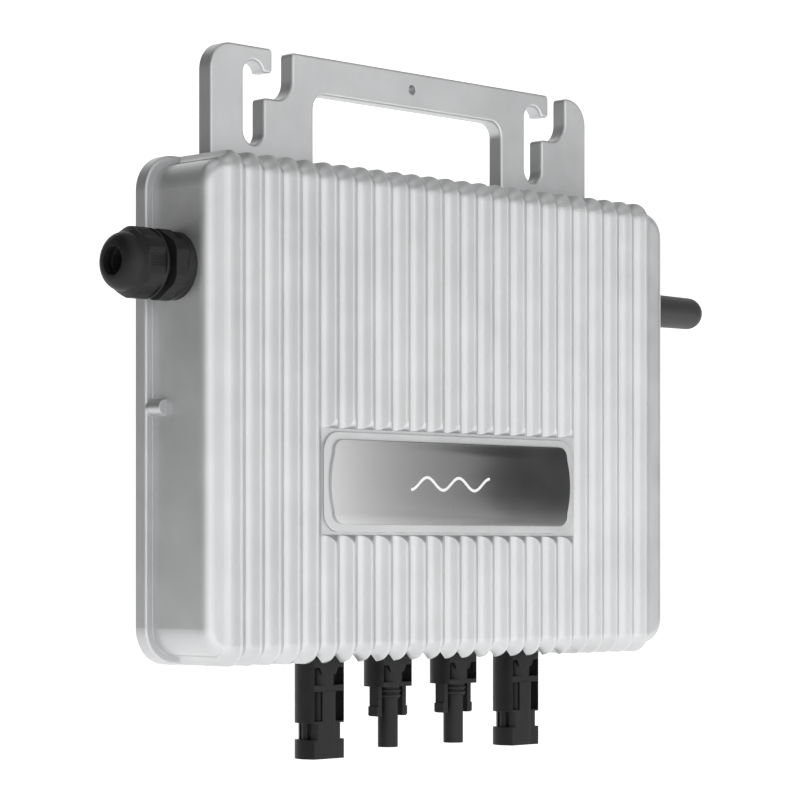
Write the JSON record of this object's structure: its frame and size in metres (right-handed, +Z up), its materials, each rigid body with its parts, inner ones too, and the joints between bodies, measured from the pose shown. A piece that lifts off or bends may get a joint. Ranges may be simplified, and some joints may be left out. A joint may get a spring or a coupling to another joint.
{
  "type": "micro inverter",
  "caption": "Finned flat micro inverter with hook bracket, cable gland, stub aerial and solar plug connectors underneath.",
  "frame": {"origin": "middle of the flat rear face, at half the housing's height", "axes": "+X to the right seen from the front, +Y to the rear (out of the rear face), +Z up towards the bracket"},
  "size_m": [0.3278, 0.0386, 0.2686],
  "materials": {
    "cast_silver": "fine-textured silver powder coat on die-cast aluminium",
    "cover_silver": "plain sheet aluminium",
    "plate_black": "glossy, light grey at the left to black at the right, thin dark rim",
    "nylon_black": "moulded black nylon",
    "plug_black": "moulded black plug plastic",
    "aerial_black": "soft black, smooth",
    "rubber_black": "black seal rubber",
    "screw_steel": "plated screw steel",
    "contact_tin": "tin-plated copper",
    "insulator_grey": "grey insulating plastic",
    "board_green": "lacquered circuit board",
    "ferrite_grey": "sintered ferrite",
    "winding_copper": "enamelled copper wire",
    "part_dark": "dark component bodies",
    "film_yellow": "film capacitor boxes",
    "pad_blue": "soft gap pad",
    "lead_black": "wire insulation"
  },
  "bodies": {
    "housing": {"finned_housing": "cast_silver", "rear_cover": "cover_silver", "cover_gasket": "rubber_black", "cover_screws": "screw_steel", "bracket_screws": "screw_steel", "mounting_bracket": "cast_silver", "name_plate": "plate_black", "gland_seal_ring": "rubber_black", "gland_body": "nylon_black", "gland_claw": "nylon_black", "gland_insert": "rubber_black", "aerial_bush": "nylon_black", "aerial_rod": "winding_copper", "socket_left": "plug_black", "socket_contact_left": "contact_tin", "socket_core_left": "insulator_grey", "socket_right": "plug_black", "socket_contact_right": "contact_tin", "socket_core_right": "insulator_grey", "plug_left": "plug_black", "plug_seals_left": "rubber_black", "plug_contact_left": "contact_tin", "plug_right": "plug_black", "plug_seals_right": "rubber_black", "plug_contact_right": "contact_tin", "connector_seals": "rubber_black", "main_board": "board_green", "board_screws": "screw_steel", "transformer_core_left": "ferrite_grey", "transformer_core_right": "ferrite_grey", "transformer_winding_left": "winding_copper", "transformer_winding_right": "winding_copper", "capacitors": "part_dark", "film_capacitors": "film_yellow", "relays": "part_dark", "choke_core": "ferrite_grey", "choke_winding": "winding_copper", "power_transistors": "part_dark", "thermal_pads": "pad_blue", "cable_terminal": "part_dark", "radio_module": "insulator_grey", "plug_leads": "lead_black", "aerial_lead": "lead_black", "aerial_nut": "nylon_black", "gland_locknut": "nylon_black", "connector_nuts": "plug_black"},
    "gland_slide": {"gland_thrust_ring": "nylon_black"},
    "gland_cap": {"gland_dome_nut": "nylon_black"},
    "aerial_slide": {"aerial_o_ring": "rubber_black"},
    "aerial": {"aerial_cover": "aerial_black"},
    "latch_left_outer": {"latch_left_outer": "plug_black"},
    "latch_left_inner": {"latch_left_inner": "plug_black"},
    "latch_right_inner": {"latch_right_inner": "plug_black"},
    "latch_right_outer": {"latch_right_outer": "plug_black"}
  },
  "joints": [
    {"name": "gland_travel", "type": "slide", "parent": "housing", "child": "gland_slide", "axis": [-1, 0, 0], "range_m": [0, 0.0045]},
    {"name": "gland_turn", "type": "hinge", "parent": "gland_slide", "child": "gland_cap", "pos_m": [-0.1483, -0.0181, 0.0515], "axis": [-1, 0, 0], "range_deg": [0, 1080]},
    {"name": "aerial_travel", "type": "slide", "parent": "housing", "child": "aerial_slide", "axis": [1, 0, 0], "range_m": [0, 0.0035]},
    {"name": "aerial_turn", "type": "hinge", "parent": "aerial_slide", "child": "aerial", "pos_m": [0.1483, -0.0181, 0.0515], "axis": [1, 0, 0], "range_deg": [0, 1800]},
    {"name": "latch_left_outer_flex", "type": "hinge", "parent": "housing", "child": "latch_left_outer", "pos_m": [-0.02573, -0.0176, -0.10475], "axis": [0, -1, 0], "range_deg": [0, 4.5], "stiffness_Nm_per_rad": 0.2},
    {"name": "latch_left_inner_flex", "type": "hinge", "parent": "housing", "child": "latch_left_inner", "pos_m": [-0.01252, -0.0176, -0.10475], "axis": [0, 1, 0], "range_deg": [0, 4.5], "stiffness_Nm_per_rad": 0.2},
    {"name": "latch_right_inner_flex", "type": "hinge", "parent": "housing", "child": "latch_right_inner", "pos_m": [0.01103, -0.0176, -0.10475], "axis": [0, -1, 0], "range_deg": [0, 4.5], "stiffness_Nm_per_rad": 0.2},
    {"name": "latch_right_outer_flex", "type": "hinge", "parent": "housing", "child": "latch_right_outer", "pos_m": [0.02423, -0.0176, -0.10475], "axis": [0, 1, 0], "range_deg": [0, 4.5], "stiffness_Nm_per_rad": 0.2}
  ],
  "couplings": [
    {"joint": "gland_turn", "follows": "gland_travel", "rad_per_m": 4188.8},
    {"joint": "aerial_turn", "follows": "aerial_travel", "rad_per_m": 8976}
  ]
}
